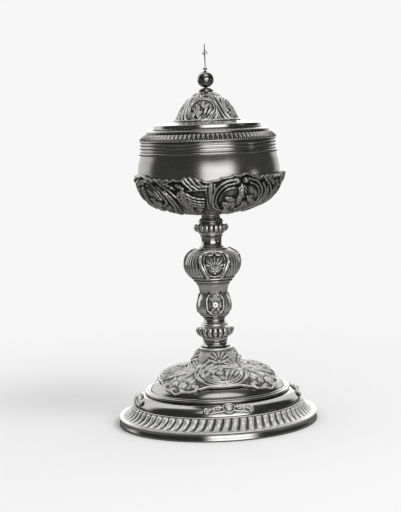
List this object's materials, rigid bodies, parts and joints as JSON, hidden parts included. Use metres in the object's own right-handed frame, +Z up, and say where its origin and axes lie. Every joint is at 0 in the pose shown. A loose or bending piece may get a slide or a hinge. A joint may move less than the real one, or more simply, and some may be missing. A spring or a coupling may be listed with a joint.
{
  "type": "ciborium",
  "caption": "Chased silver ciborium: round stepped foot, baluster stem, shallow cup in a chased calyx, and a domed lid with a ball and cross that lifts off.",
  "frame": {"origin": "centre of the underside of the foot, on the surface that it stands on", "axes": "+Z up along the stem, -Y towards the front (the cartouche side that is nearest the viewer), +X to the right seen from the front"},
  "size_m": [0.164, 0.164, 0.3095],
  "materials": {
    "polished_silver": "polished silver with light tarnish",
    "chased_silver": "raised and chased silver, matted ground, tarnish in the hollows",
    "cast_silver": "cast and chased silver, tarnish in the hollows",
    "silver_gilt": "fire-gilt silver, satin",
    "steel": "plain threaded rod, nuts and washer"
  },
  "bodies": {
    "vessel": {"foot_rim_band": "polished_silver", "foot_gadroon_flange": "chased_silver", "foot_torus": "polished_silver", "foot_reeded_ring": "polished_silver", "foot_dome": "polished_silver", "foot_shoulder": "chased_silver", "foot_plaque_front": "cast_silver", "foot_plaque_right": "cast_silver", "foot_plaque_back": "cast_silver", "foot_plaque_left": "cast_silver", "foot_spool": "polished_silver", "lower_knop": "cast_silver", "lower_stem_ring": "polished_silver", "baluster": "cast_silver", "stem_neck": "polished_silver", "upper_knop": "cast_silver", "upper_collar": "polished_silver", "tie_rod": "steel", "tie_rod_washer": "steel", "tie_rod_nut": "steel", "calyx": "chased_silver", "bowl": "polished_silver", "bowl_boss": "polished_silver"},
    "lid": {"lid_bezel": "silver_gilt", "lid_band": "polished_silver", "lid_leaf_band": "chased_silver", "lid_step": "polished_silver", "lid_dome": "chased_silver", "lid_leaf_cap": "cast_silver", "finial_collar": "polished_silver", "finial_ball": "polished_silver", "finial_bead": "polished_silver", "finial_cross": "cast_silver", "finial_stud": "steel", "finial_nut": "steel"}
  },
  "joints": [
    {"name": "lid_lift", "type": "slide", "parent": "vessel", "child": "lid", "axis": [0, 0, 1], "range_m": [0, 0.12]}
  ]
}
